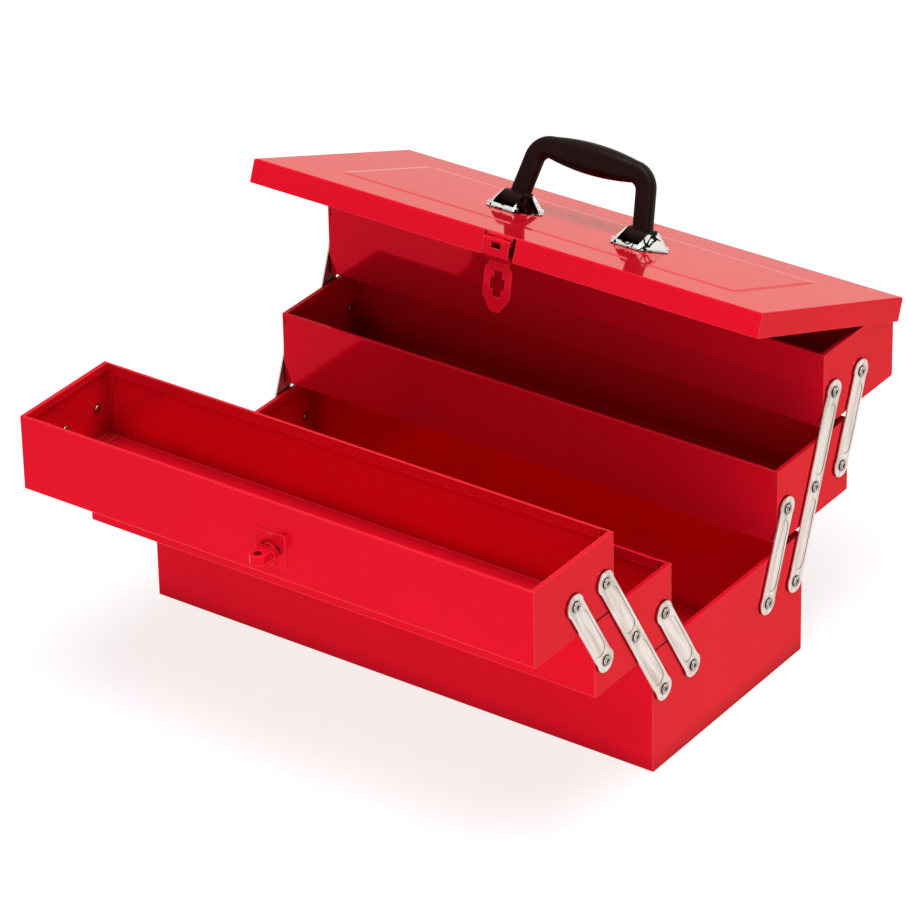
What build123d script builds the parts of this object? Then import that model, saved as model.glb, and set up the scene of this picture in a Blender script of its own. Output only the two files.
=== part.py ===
from build123d import *

import os
from math import atan2, cos, degrees, hypot, radians, sin

# Cantilever tool box, shown open: a base, two stages of trays on each side, and a lid
# that is hinged to the upper rear tray. Millimetres, +Z up, front towards -Y. The origin
# is the middle of the underside of the base.

os.makedirs("parts", exist_ok=True)

# Boxes, all pressed from the same sheet
box_length = 457.0
base_depth = 205.5
base_height = 102.7
tray_depth = 100.0
tray_height = 62.3
rim_gap = 1.5  # between a rim and the tray that closes over it
sheet = 0.8
bend_radius = 1.6  # outside radius of the floor bends
edge_round = 0.4  # rounding of folded and sheared edges
seam_gap = 0.1  # between an end panel and the sheet that wraps it

# Folded rims
hem_depth = 8.0
hem_gap = 0.8
end_flange = 10.0  # welding flanges of the end panels
end_hem_width = 3.8
end_hem_depth = 6.0

# Clipped lower corners and relief slits of the tray walls that face the middle
clip_width = 8.0
clip_height = 17.0
slit_width = 1.5
slit_height = 7.5
slit_inset = 2.6
slit_drop = 4.0

# Linkage
pivot_inset = 12.5  # long link pivots, from the outer face of the base
pivot_drop = 35.5  # all pivots, below their rim
link_pitch = 38.5  # from a long link to the short link beside it
link_width = 17.6
link_end_radius = 9.5
link_sheet = 1.5
link_break = 0.35  # chamfer round the outer face
recess_rim = 2.6
recess_end = 9.0
recess_depth = 0.3
side_play = 0.1  # beside each link
running_gap = 0.06  # round each turning pin
fixed_gap = 0.02  # round each fixed pin
rear_rest_angle = 20.75  # how far the rear links lean out in the photographed pose

# Pivot rivets and the washers under the links
rivet_radius = 2.4
rivet_head_radius = 4.3
rivet_head_height = 1.5
rivet_dimple_radius = 1.7
rivet_dimple_depth = 0.9
rivet_tail_radius = 3.9
rivet_tail_height = 1.3
washer_radius = 6.5
washer_sheet = 0.8

# Lid
lid_front_overhang = 5.3
lid_back_overhang = 4.0
lid_side_gap = 0.7
lid_seat_gap = 1.3  # takes the leaf of the hasp
lid_flange = 19.0
lid_bend_radius = 1.5
lid_hem_height = 6.0
lid_tilt = 20.92  # front edge raised, in the photographed pose
panel_length = 361.0
panel_depth = 127.0
panel_raise = 0.5
panel_bevel = 4.5
panel_corner_radius = 8.0

# Lid hinges
hinge_setback = 2.0  # pin behind the back wall of the tray
hinge_drop = 2.2  # pin below the edge of the lid flange
hinge_pin_radius = 1.0
hinge_knuckle_radius = 1.85
hinge_leaf_sheet = 0.8
hinge_leaf_height = 14.0
hinge_length = 60.0
hinge_spacing = 260.0
hinge_knuckles = 5
knuckle_gap = 0.3

# Handle, measured from the axis of its pins
handle_span = 114.0  # between the middles of the two feet
handle_pin_height = 8.0  # above the flat part of the lid
handle_pin_forward = 4.3  # in front of the middle of the lid
handle_pin_radius = 2.0
handle_lean = 4.4  # back from square to the lid, on its stop
handle_stop_gap = 0.3  # under the heels of the handle, on their stop
foot_width = 18.5
foot_height = 6.4
barrel_radius = 5.9
leg_width = 15.7
leg_thickness = 10.0
leg_round = 3.5
leg_setback = 5.8  # from the pin axis to the middle of the legs
leg_splay = 10.0  # the legs draw together upwards
corner_radius = 14.1  # of the middle line, where the legs bend into the grip
corner_steps = 4
grip_height = 45.6
grip_steps = 4  # from its middle to each end
grip_rise = 24.4
grip_thickness = 18.0
grip_end_rise = 17.4
grip_end_thickness = 13.0
grip_round = 0.42  # corner radius of the grip, as a share of its thickness

# Handle mounts
mount_radius = 25.5
mount_sheet = 1.0
mount_corner_radius = 3.0
mount_break = 0.35
dome_radius = 23.5  # at its foot, on the plate of the mount
dome_top_radius = 14.5
dome_height = 10.5
dome_corner_radius = 2.0
dome_lip_height = 2.6  # left standing in front of the foot of the handle
dome_lip_gap = 0.6
lug_gap = 0.35
pin_overhang = 2.6  # of the pin into the dome, past the side of the foot
mount_rivet_radius = 1.5
mount_rivet_length = 3.0  # inside the mount
mount_rivet_head_radius = 2.6
mount_rivet_head_height = 0.7
mount_rivet_offset = 17.0

# Hasp
hasp_width = 23.4
hasp_sheet = 0.9
hasp_knuckle_radius = 2.3
hasp_knuckle_gap = 0.5
hasp_notch_depth = 5.6  # below the pin, for the knuckle of the leaf
hasp_pin_radius = 1.2
hasp_pin_drop = 5.6  # below the top of the lid
hasp_pin_forward = 2.6  # in front of the front face of the lid
hasp_leaf_depth = 14.0
hasp_hang_angle = 12.0  # from upright, in the photographed pose
hasp_jog_start = 11.6
hasp_jog_end = 18.4
hasp_jog = 7.6
hasp_neck_width = 17.9
hasp_shoulder_start = 20.2
hasp_shoulder_end = 23.9
hasp_blade_width = 24.5
hasp_taper_start = 45.2
hasp_tip_radius = 3.8
hasp_length = 57.2
slot_centre = 35.0
slot_width = 8.0
slot_length = 20.5
slot_arm_width = 13.2
slot_arm_height = 9.5
notch_width = 28.4

# Turn catch
catch_plate_width = 27.5
catch_plate_height = 28.5
catch_plate_sheet = 1.0
catch_plate_corner = 3.0
catch_boss_radius = 5.8
catch_boss_height = 2.4
catch_stem_radius = 2.5
catch_head_length = 19.0
catch_head_height = 7.2
catch_bar_depth = 5.0
catch_projection = 22.0  # from the wall of the tray
catch_eye_radius = 3.25
catch_eye_wall = 3.0
catch_rivet_radius = 1.5
catch_rivet_head_radius = 2.6
catch_rivet_head_height = 0.4
catch_rivet_spacing = 22.0
catch_tail_radius = 4.5
catch_tail_height = 1.2

# Worked out from the sizes above
half_length = box_length / 2
pivot_rise = tray_height + rim_gap
pivot_shift = tray_depth / 2 - pivot_inset
link_length = hypot(pivot_shift, pivot_rise)
open_angle = degrees(atan2(pivot_shift, pivot_rise))
tray_pivot_height = tray_height - pivot_drop
base_pivot_height = base_height - pivot_drop
base_long_pivot = base_depth / 2 - pivot_inset
base_short_pivot = base_long_pivot - link_pitch
link_plane_offset = half_length + washer_sheet + side_play


def placed(frame, view):
    """Turn a plane given in a body's own frame into a plane of the whole model."""
    return Plane(frame.location * view.location)


def along(start, direction, distance):
    """Give the point at a distance from start, in the direction of a unit vector."""
    return Vector(start) + Vector(direction) * distance


def save(part, name):
    """Label a finished piece and write it under its own name."""
    part.label = name
    export_step(part, f"parts/{name}.step")


def pivot_planes(frame, pivots):
    """Give a plane on the outer face of both end panels at each pivot."""
    planes = []
    for hand in (-1, 1):
        for y, z in pivots:
            local = Plane(origin=(hand * half_length, y, z), x_dir=(0, 1, 0), z_dir=(hand, 0, 0))
            planes.append(placed(frame, local))
    return planes


def make_wrap(frame, depth, height):
    """Bend the front wall, floor and back wall of a box from one sheet."""
    end_view = placed(frame, Plane.YZ)
    hem_half_length = half_length - end_flange - seam_gap
    hem_middle = depth / 2 - sheet - (hem_gap + sheet) / 2
    with BuildPart() as wrap:
        with BuildSketch(end_view) as walls:
            with Locations((0, height / 2)):
                Rectangle(depth, height)
            fillet(walls.vertices().group_by(Axis.Y)[0], bend_radius)
            fillet(walls.vertices().group_by(Axis.Y)[-1], edge_round)
            with BuildSketch(mode=Mode.PRIVATE) as inside:
                with Locations((0, sheet + height / 2)):
                    Rectangle(depth - 2 * sheet, height)
                fillet(inside.vertices().group_by(Axis.Y)[0], bend_radius - sheet)
            add(inside.sketch, mode=Mode.SUBTRACT)
        extrude(amount=half_length, both=True)
        with BuildSketch(end_view):
            for side in (-1, 1):
                with Locations((side * hem_middle, height - hem_depth / 2)):
                    Rectangle(hem_gap + sheet, hem_depth)
                with Locations((side * (hem_middle + sheet / 2), height - sheet - hem_depth / 2)):
                    Rectangle(hem_gap, hem_depth, mode=Mode.SUBTRACT)
        extrude(amount=hem_half_length, both=True)
    return wrap


def relieve_inner_wall(wrap, frame, depth, height, inward):
    """Clip the lower corners of the wall that faces the middle, and slit its upper corners."""
    wall = inward * depth / 2
    wall_view = placed(frame, Plane(origin=(0, wall, 0), x_dir=(1, 0, 0), z_dir=(0, -1, 0)))
    with BuildPart() as cutter:
        with BuildSketch(wall_view):
            for hand in (-1, 1):
                corner = hand * half_length
                with BuildLine():
                    Polyline(
                        (corner, 0),
                        (corner - hand * clip_width, 0),
                        (corner, clip_height),
                        close=True,
                    )
                make_face()
                with Locations((corner - hand * slit_inset, height - slit_drop - slit_height / 2)):
                    Rectangle(slit_width, slit_height)
        extrude(amount=sheet + seam_gap / 2, both=True)
    with wrap:
        add(cutter.part, mode=Mode.SUBTRACT)


def make_end(frame, depth, height, pivots, hand):
    """Press one end panel: a plate with welding flanges and a folded top edge."""
    pan_depth = depth - 2 * (sheet + seam_gap)
    pan_floor = sheet + seam_gap
    face = hand * half_length
    with BuildPart() as end:
        with BuildSketch(placed(frame, Plane.YZ.offset(face))) as pan:
            with Locations((0, (pan_floor + height) / 2)):
                Rectangle(pan_depth, height - pan_floor)
            fillet(pan.vertices().group_by(Axis.Y)[0], bend_radius - sheet)
        extrude(amount=-hand * end_flange)
        fillet(end.faces().sort_by(Axis.X)[-1 if hand > 0 else 0].edges(), edge_round)
        with BuildSketch(placed(frame, Plane.YZ.offset(face - hand * sheet))):
            with Locations((0, pan_floor + sheet + height / 2)):
                Rectangle(pan_depth - 2 * sheet, height)
        extrude(amount=-hand * end_flange, mode=Mode.SUBTRACT)
        with BuildSketch(placed(frame, Plane.XZ)):
            with Locations((face - hand * end_hem_width / 2, height - end_hem_depth / 2)):
                Rectangle(end_hem_width - 2 * edge_round, end_hem_depth)
            with Locations((face - hand * end_hem_width / 2, height - sheet - end_hem_depth / 2)):
                Rectangle(end_hem_width - 2 * sheet, end_hem_depth, mode=Mode.SUBTRACT)
        extrude(amount=pan_depth / 2 - sheet, both=True)
        for plane in pivot_planes(frame, pivots):
            if plane.z_dir.X * hand > 0:
                with BuildSketch(plane):
                    Circle(rivet_radius + fixed_gap)
                extrude(amount=-2 * sheet, mode=Mode.SUBTRACT)
    return end


def make_link(plane, spans):
    """Stamp a flat link whose pivots stand in line from the origin of its plane."""
    reach = spans * link_length
    with BuildPart() as link:
        with BuildSketch(plane):
            with Locations((reach / 2, 0)):
                Rectangle(reach, link_width)
            with Locations((0, 0), (reach, 0)):
                Circle(link_end_radius)
        extrude(amount=link_sheet)
        outward = Axis(plane.origin, plane.z_dir)
        chamfer(link.faces().sort_by(outward)[-1].edges(), link_break)
        with BuildSketch(plane.offset(link_sheet)):
            for span in range(spans):
                with Locations(((span + 0.5) * link_length, 0)):
                    SlotOverall(link_length - 2 * recess_end, link_width - 2 * recess_rim)
        extrude(amount=-recess_depth, mode=Mode.SUBTRACT)
        with BuildSketch(plane):
            with Locations([(step * link_length, 0) for step in range(spans + 1)]):
                Circle(rivet_radius + running_gap)
        extrude(amount=link_sheet, mode=Mode.SUBTRACT)
    return link


# One pivot rivet, its axis on +Z and the outer face of the panel at zero
head_base = washer_sheet + link_sheet + 2 * side_play
with BuildPart() as pivot_rivet:
    with BuildSketch():
        Circle(rivet_head_radius)
    extrude(amount=rivet_head_height)
    fillet(pivot_rivet.faces().sort_by(Axis.Z)[-1].edges(), rivet_head_height * 0.7)
    with BuildSketch(Plane.XY.offset(rivet_head_height)):
        Circle(rivet_dimple_radius)
    extrude(amount=-rivet_dimple_depth, taper=20, mode=Mode.SUBTRACT)
    with BuildSketch():
        Circle(rivet_radius)
    extrude(amount=-head_base - sheet)
    with BuildSketch(Plane.XY.offset(-head_base - sheet)):
        Circle(rivet_tail_radius)
    extrude(amount=-rivet_tail_height)
    fillet(pivot_rivet.faces().sort_by(Axis.Z)[0].edges(), rivet_tail_height * 0.5)

with BuildPart() as pivot_washer:
    with BuildSketch():
        Circle(washer_radius)
        Circle(rivet_radius + fixed_gap, mode=Mode.SUBTRACT)
    extrude(amount=washer_sheet)


def pierce_front_wall(wrap, frame, depth, holes):
    """Drill holes, given as x, z and radius, through the front wall of a box."""
    front_view = Plane(origin=(0, -depth / 2, 0), x_dir=(1, 0, 0), z_dir=(0, -1, 0))
    with BuildPart() as cutter:
        with BuildSketch(placed(frame, front_view)):
            for x, z, radius in holes:
                with Locations((x, z)):
                    Circle(radius)
        extrude(amount=-2 * sheet)
    with wrap:
        add(cutter.part, mode=Mode.SUBTRACT)


def save_box(name, frame, depth, height, pivots, inward=0, front_holes=()):
    """Make the wrap, end panels, pivot rivets and washers of one box."""
    wrap = make_wrap(frame, depth, height)
    if inward:
        relieve_inner_wall(wrap, frame, depth, height, inward)
    if front_holes:
        pierce_front_wall(wrap, frame, depth, front_holes)
    save(wrap.part, f"{name}_wrap")
    for hand, hand_name in ((-1, "left"), (1, "right")):
        end = make_end(frame, depth, height, pivots, hand)
        save(end.part, f"{name}_end_{hand_name}")
    planes = pivot_planes(frame, pivots)
    with BuildPart() as rivets:
        with Locations([plane.offset(head_base).location for plane in planes]):
            add(pivot_rivet.part)
    save(rivets.part, f"{name}_rivets")
    with BuildPart() as washers:
        with Locations([plane.location for plane in planes]):
            add(pivot_washer.part)
    save(washers.part, f"{name}_washers")


# Base
base_pivots = [
    (side * offset, base_pivot_height)
    for side in (-1, 1)
    for offset in (base_long_pivot, base_short_pivot)
]
save_box("base", Plane.XY, base_depth, base_height, base_pivots)

# Holes of the turn catch, where the slot of the hasp lands on the closed box
catch_height = tray_height + sheet + lid_seat_gap - hasp_pin_drop - slot_centre
catch_rivet_places = [(0, -catch_rivet_spacing / 2), (0, catch_rivet_spacing / 2)]
catch_holes = [(0, catch_height, catch_stem_radius + running_gap)]
catch_holes += [(x, catch_height + z, catch_rivet_radius + fixed_gap) for x, z in catch_rivet_places]

# Trays and links. On each side the links lean outwards by the side's own rest angle.
tray_frames = {}
for side, side_name, angle in ((-1, "front", open_angle), (1, "rear", rear_rest_angle)):
    step = Vector(0, side * sin(radians(angle)), cos(radians(angle)))
    base_pivot = Vector(0, side * base_long_pivot, base_pivot_height)
    short_offset = Vector(0, side * link_pitch, 0)
    lower_pivot = along(base_pivot, step, link_length)
    upper_pivot = along(lower_pivot, step, link_length)
    to_floor = Vector(0, 0, -tray_pivot_height)
    to_upper_middle = Vector(0, side * pivot_shift, 0)
    lower_frame = Plane(origin=lower_pivot + to_floor)
    upper_frame = Plane(origin=upper_pivot + to_floor + to_upper_middle)
    tray_frames[side_name] = upper_frame
    lower_pivots = [(offset, tray_pivot_height) for offset in (0, -link_pitch, link_pitch)]
    upper_pivots = [
        (-side * pivot_shift, tray_pivot_height),
        (side * (link_pitch - pivot_shift), tray_pivot_height),
    ]
    holes = catch_holes if side_name == "front" else ()
    save_box(f"{side_name}_lower_tray", lower_frame, tray_depth, tray_height, lower_pivots, -side)
    save_box(f"{side_name}_upper_tray", upper_frame, tray_depth, tray_height, upper_pivots, -side, holes)
    for hand, hand_name in ((-1, "left"), (1, "right")):
        offset = Vector(hand * link_plane_offset, 0, 0)
        starts = {
            "long_link": (base_pivot, 2),
            "lower_short_link": (base_pivot - short_offset, 1),
            "upper_short_link": (lower_pivot + short_offset, 1),
        }
        for link_name, (start, spans) in starts.items():
            link = make_link(Plane(origin=start + offset, x_dir=step, z_dir=(hand, 0, 0)), spans)
            save(link.part, f"{side_name}_{link_name}_{hand_name}")

# Lid, in a frame whose origin is the axis of its hinge pins and whose +Z is square to it
lid_top = lid_flange + hinge_drop
lid_back = lid_back_overhang - hinge_setback
lid_depth = base_depth + lid_front_overhang + lid_back_overhang
lid_front = lid_back - lid_depth
lid_middle = lid_back - lid_depth / 2
lid_length = box_length + 2 * (lid_side_gap + sheet)
hinge_below_rim = lid_top - sheet - lid_seat_gap
rear_tray = tray_frames["rear"]
hinge_axis_y = rear_tray.origin.Y + tray_depth / 2 + hinge_setback
hinge_axis_z = rear_tray.origin.Z + tray_height - hinge_below_rim
lid_normal = Vector(0, sin(radians(lid_tilt)), cos(radians(lid_tilt)))
lid = Plane(origin=(0, hinge_axis_y, hinge_axis_z), x_dir=(1, 0, 0), z_dir=lid_normal)
lid_up = Axis(lid.origin, lid.z_dir)

hasp_axis = Vector(0, lid_front - hasp_pin_forward, lid_top - hasp_pin_drop)
notch_top = lid_top - sheet
panel_levels = [(0, 0), (panel_raise, panel_bevel)]  # height, and distance inside its outline
mount_rivet_places = [
    side * handle_span / 2 + offset
    for side in (-1, 1)
    for offset in (-mount_rivet_offset, mount_rivet_offset)
]

with BuildPart() as lid_shell:
    with BuildSketch(placed(lid, Plane.XY.offset(lid_top))):
        with Locations((0, lid_middle)):
            Rectangle(lid_length, lid_depth)
    extrude(amount=-lid_flange)
    fillet(lid_shell.faces().sort_by(lid_up)[-1].edges(), lid_bend_radius)
    for height, inset in panel_levels:
        with BuildSketch(placed(lid, Plane.XY.offset(lid_top + height))):
            with Locations((0, lid_middle)):
                RectangleRounded(
                    panel_length - 2 * inset, panel_depth - 2 * inset, panel_corner_radius - inset
                )
    loft()
    with BuildSketch(placed(lid, Plane.XY.offset(lid_top - sheet))):
        with Locations((0, lid_middle)):
            Rectangle(lid_length - 2 * sheet, lid_depth - 2 * sheet)
    extrude(amount=-lid_flange, mode=Mode.SUBTRACT)
    for height, inset in panel_levels:
        with BuildSketch(placed(lid, Plane.XY.offset(lid_top - sheet + height))):
            with Locations((0, lid_middle)):
                RectangleRounded(
                    panel_length - 2 * inset, panel_depth - 2 * inset, panel_corner_radius - inset
                )
    loft(mode=Mode.SUBTRACT)
    with BuildSketch(placed(lid, Plane.XY.offset(lid_top - lid_flange))):
        with Locations((0, lid_front + 1.5 * sheet)):
            Rectangle(lid_length - 2 * sheet, sheet)
    extrude(amount=lid_hem_height)
    with BuildSketch(placed(lid, Plane.XZ.offset(-lid_front - 2 * sheet - seam_gap))):
        with Locations((0, (notch_top + lid_top - lid_flange) / 2 - sheet)):
            Rectangle(notch_width, notch_top - lid_top + lid_flange + 2 * sheet)
    extrude(amount=2 * sheet + 2 * seam_gap, mode=Mode.SUBTRACT)
    with BuildSketch(placed(lid, Plane.XY.offset(lid_top + panel_raise))):
        with Locations([(x, lid_middle) for x in mount_rivet_places]):
            Circle(mount_rivet_radius + fixed_gap)
    extrude(amount=-2 * sheet, mode=Mode.SUBTRACT)
save(lid_shell.part, "lid_shell")


# Lid hinges: knuckles along X, those of the tray leaf at both ends
def knuckle_spans(count, length, first):
    """Give the middles of every second knuckle, from the first one asked for."""
    pitch = length / count
    return [(index + 0.5) * pitch - length / 2 for index in range(first, count, 2)]


def make_hinge_leaf(frame, near, direction, first):
    """Make both copies of one hinge leaf, upright on its flat and curled round the pin."""
    knuckle_length = hinge_length / hinge_knuckles - knuckle_gap
    plate_start = hinge_knuckle_radius + knuckle_gap
    plate_height = hinge_leaf_height - plate_start
    middles = knuckle_spans(hinge_knuckles, hinge_length, first)
    with BuildPart() as leaf:
        for centre in (-hinge_spacing / 2, hinge_spacing / 2):
            front_view = placed(frame, Plane(origin=(centre, near, 0), x_dir=(1, 0, 0), z_dir=(0, -1, 0)))
            with BuildSketch(front_view):
                with Locations((0, direction * (plate_start + plate_height / 2))):
                    Rectangle(hinge_length, plate_height)
                with Locations([(middle, direction * hinge_leaf_height / 2) for middle in middles]):
                    Rectangle(knuckle_length, hinge_leaf_height)
            extrude(amount=-hinge_leaf_sheet)
            for middle in middles:
                start = centre + middle - knuckle_length / 2
                with BuildSketch(placed(frame, Plane.YZ.offset(start))):
                    Circle(hinge_knuckle_radius)
                extrude(amount=knuckle_length)
            for middle in middles:
                start = centre + middle - knuckle_length / 2
                with BuildSketch(placed(frame, Plane.YZ.offset(start))):
                    Circle(hinge_pin_radius + running_gap)
                extrude(amount=knuckle_length, mode=Mode.SUBTRACT)
    return leaf


hinge_level = Plane(origin=lid.origin)
tray_leaf = make_hinge_leaf(hinge_level, -hinge_setback, -1, 0)
save(tray_leaf.part, "lid_hinge_tray_leaf")
lid_leaf = make_hinge_leaf(lid, lid_back - sheet - hinge_leaf_sheet, 1, 1)
save(lid_leaf.part, "lid_hinge_lid_leaf")

with BuildPart() as hinge_pins:
    for centre in (-hinge_spacing / 2, hinge_spacing / 2):
        with BuildSketch(placed(hinge_level, Plane.YZ.offset(centre - hinge_length / 2))):
            Circle(hinge_pin_radius)
        extrude(amount=hinge_length)
save(hinge_pins.part, "lid_hinge_pins")

# Hasp leaf and pin, on the lid
hasp_knuckle_length = (hasp_width - 2 * hasp_knuckle_gap) / 3
hasp_frame = placed(lid, Plane(origin=hasp_axis))
leaf_ceiling = hasp_pin_drop - sheet
web_middle = hasp_knuckle_radius - hasp_sheet / 2
web_foot = hasp_knuckle_radius + hasp_knuckle_gap
leaf_middle = hasp_knuckle_radius - hasp_sheet + hasp_leaf_depth / 2
with BuildPart() as hasp_leaf:
    with BuildSketch(placed(hasp_frame, Plane.YZ)):
        Circle(hasp_knuckle_radius)
        with Locations((web_middle, leaf_ceiling / 2)):
            Rectangle(hasp_sheet, leaf_ceiling)
    extrude(amount=hasp_knuckle_length / 2, both=True)
    with BuildSketch(placed(hasp_frame, Plane.YZ)):
        with Locations((leaf_middle, leaf_ceiling - hasp_sheet / 2)):
            Rectangle(hasp_leaf_depth, hasp_sheet)
        with Locations((web_middle, (leaf_ceiling + web_foot) / 2)):
            Rectangle(hasp_sheet, leaf_ceiling - web_foot)
    extrude(amount=hasp_width / 2, both=True)
    with BuildSketch(placed(hasp_frame, Plane.YZ)):
        Circle(hasp_pin_radius + running_gap)
    extrude(amount=hasp_knuckle_length, both=True, mode=Mode.SUBTRACT)
save(hasp_leaf.part, "hasp_leaf")

with BuildPart() as hasp_pin:
    with BuildSketch(placed(hasp_frame, Plane.YZ)):
        Circle(hasp_pin_radius)
    extrude(amount=hasp_width / 2, both=True)
save(hasp_pin.part, "hasp_pin")

# Hasp strap, in a frame on its pin whose -Z runs down the strap
strap_turn = radians(hasp_hang_angle)
strap_frame = Plane(origin=hasp_frame.origin, x_dir=(1, 0, 0), z_dir=(0, sin(strap_turn), cos(strap_turn)))
strap_front = -hasp_knuckle_radius
strap_back = strap_front + hasp_sheet
with BuildPart() as hasp_strap:
    with BuildSketch(placed(strap_frame, Plane.YZ)):
        with BuildLine():
            Polyline(
                (strap_front, 0),
                (strap_front, -hasp_jog_start),
                (strap_front + hasp_jog, -hasp_jog_end),
                (strap_front + hasp_jog, -hasp_length),
                (strap_back + hasp_jog, -hasp_length),
                (strap_back + hasp_jog, -hasp_jog_end),
                (strap_back, -hasp_jog_start),
                (strap_back, 0),
                close=True,
            )
        make_face()
    extrude(amount=hasp_blade_width / 2, both=True)
    with BuildSketch(placed(strap_frame, Plane.XZ)) as strap_outline:
        with BuildLine():
            Polyline(
                (hasp_width / 2, hasp_knuckle_radius),
                (hasp_width / 2, -(hasp_jog_start + hasp_jog_end) / 2),
                (hasp_neck_width / 2, -hasp_jog_end),
                (hasp_neck_width / 2, -hasp_shoulder_start),
                (hasp_blade_width / 2, -hasp_shoulder_end),
                (hasp_blade_width / 2, -hasp_taper_start),
                (hasp_tip_radius, -hasp_length),
                (-hasp_tip_radius, -hasp_length),
                (-hasp_blade_width / 2, -hasp_taper_start),
                (-hasp_blade_width / 2, -hasp_shoulder_end),
                (-hasp_neck_width / 2, -hasp_shoulder_start),
                (-hasp_neck_width / 2, -hasp_jog_end),
                (-hasp_width / 2, -(hasp_jog_start + hasp_jog_end) / 2),
                (-hasp_width / 2, hasp_knuckle_radius),
                close=True,
            )
        make_face()
        fillet(strap_outline.vertices().group_by(Axis.Y)[0], hasp_tip_radius * 0.9)
        with Locations((0, -slot_centre)):
            Rectangle(slot_width, slot_length, mode=Mode.SUBTRACT)
            Rectangle(slot_arm_width, slot_arm_height, mode=Mode.SUBTRACT)
        with Locations((0, hasp_knuckle_radius)):
            Rectangle(
                hasp_knuckle_length + 2 * hasp_knuckle_gap,
                2 * (hasp_knuckle_radius + hasp_notch_depth),
                mode=Mode.SUBTRACT,
            )
    extrude(amount=hasp_width, both=True, mode=Mode.INTERSECT)
    for side in (-1, 1):
        knuckle_start = side * (hasp_knuckle_length + hasp_knuckle_gap) - hasp_knuckle_length / 2
        with BuildSketch(placed(strap_frame, Plane.YZ.offset(knuckle_start))):
            Circle(hasp_knuckle_radius)
        extrude(amount=hasp_knuckle_length)
    with BuildSketch(placed(strap_frame, Plane.YZ)):
        Circle(hasp_pin_radius + running_gap)
    extrude(amount=hasp_width, both=True, mode=Mode.SUBTRACT)
save(hasp_strap.part, "hasp_strap")

# Turn catch, on the front wall of the upper front tray where the slot of the hasp lands.
# Its faces look towards -Y, and its origin is on the wall.
catch_origin = tray_frames["front"].origin + Vector(0, -tray_depth / 2, catch_height)
catch_face = Plane(origin=catch_origin, x_dir=(1, 0, 0), z_dir=(0, -1, 0))
catch_top_view = Plane(origin=catch_origin, x_dir=(1, 0, 0), z_dir=(0, 0, -1))

with BuildPart() as catch_plate:
    with BuildSketch(catch_face):
        RectangleRounded(catch_plate_width, catch_plate_height, catch_plate_corner)
    extrude(amount=catch_plate_sheet)
    chamfer(catch_plate.faces().sort_by(Axis.Y)[0].edges(), edge_round)
    with BuildSketch(catch_face):
        Circle(catch_boss_radius)
    extrude(amount=catch_plate_sheet + catch_boss_height)
    chamfer(catch_plate.faces().sort_by(Axis.Y)[0].edges(), edge_round)
    with BuildSketch(catch_face):
        Circle(catch_stem_radius + running_gap)
        with Locations(catch_rivet_places):
            Circle(catch_rivet_radius + fixed_gap)
    extrude(amount=catch_projection, mode=Mode.SUBTRACT)
save(catch_plate.part, "turn_catch_plate")

head_start = catch_plate_sheet + catch_boss_height + side_play
eye_outer_radius = catch_eye_radius + catch_eye_wall
eye_middle = catch_projection - eye_outer_radius
with BuildPart() as catch_head:
    with BuildSketch(catch_top_view):
        with Locations((0, head_start + catch_bar_depth / 2)):
            Rectangle(catch_head_length, catch_bar_depth)
        with Locations((0, (head_start + eye_middle) / 2)):
            Rectangle(2 * eye_outer_radius, eye_middle - head_start)
        with Locations((0, eye_middle)):
            Circle(eye_outer_radius)
    extrude(amount=catch_head_height / 2, both=True)
    with BuildSketch(catch_face):
        SlotOverall(catch_head_length, catch_head_height)
    extrude(amount=catch_projection, mode=Mode.INTERSECT)
    with BuildSketch(catch_top_view):
        with Locations((0, eye_middle)):
            Circle(catch_eye_radius)
    extrude(amount=catch_head_height, both=True, mode=Mode.SUBTRACT)
    with BuildSketch(catch_face.offset(-sheet - side_play)):
        Circle(catch_stem_radius)
    extrude(amount=sheet + side_play + head_start)
    with BuildSketch(catch_face.offset(-sheet - side_play)):
        Circle(catch_tail_radius)
    extrude(amount=-catch_tail_height)
save(catch_head.part, "turn_catch_head")

with BuildPart() as catch_rivet:
    with BuildSketch():
        Circle(catch_rivet_head_radius)
    extrude(amount=catch_rivet_head_height)
    fillet(catch_rivet.faces().sort_by(Axis.Z)[-1].edges(), catch_rivet_head_height * 0.7)
    with BuildSketch():
        Circle(catch_rivet_radius)
    extrude(amount=-catch_plate_sheet - sheet)
    with BuildSketch(Plane.XY.offset(-catch_plate_sheet - sheet)):
        Circle(catch_rivet_head_radius)
    extrude(amount=-catch_rivet_head_height)
with BuildPart() as catch_rivets:
    with Locations([
        placed(catch_face.offset(catch_plate_sheet), Plane(origin=(x, z, 0))).location
        for x, z in catch_rivet_places
    ]):
        add(catch_rivet.part)
save(catch_rivets.part, "turn_catch_rivets")

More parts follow.
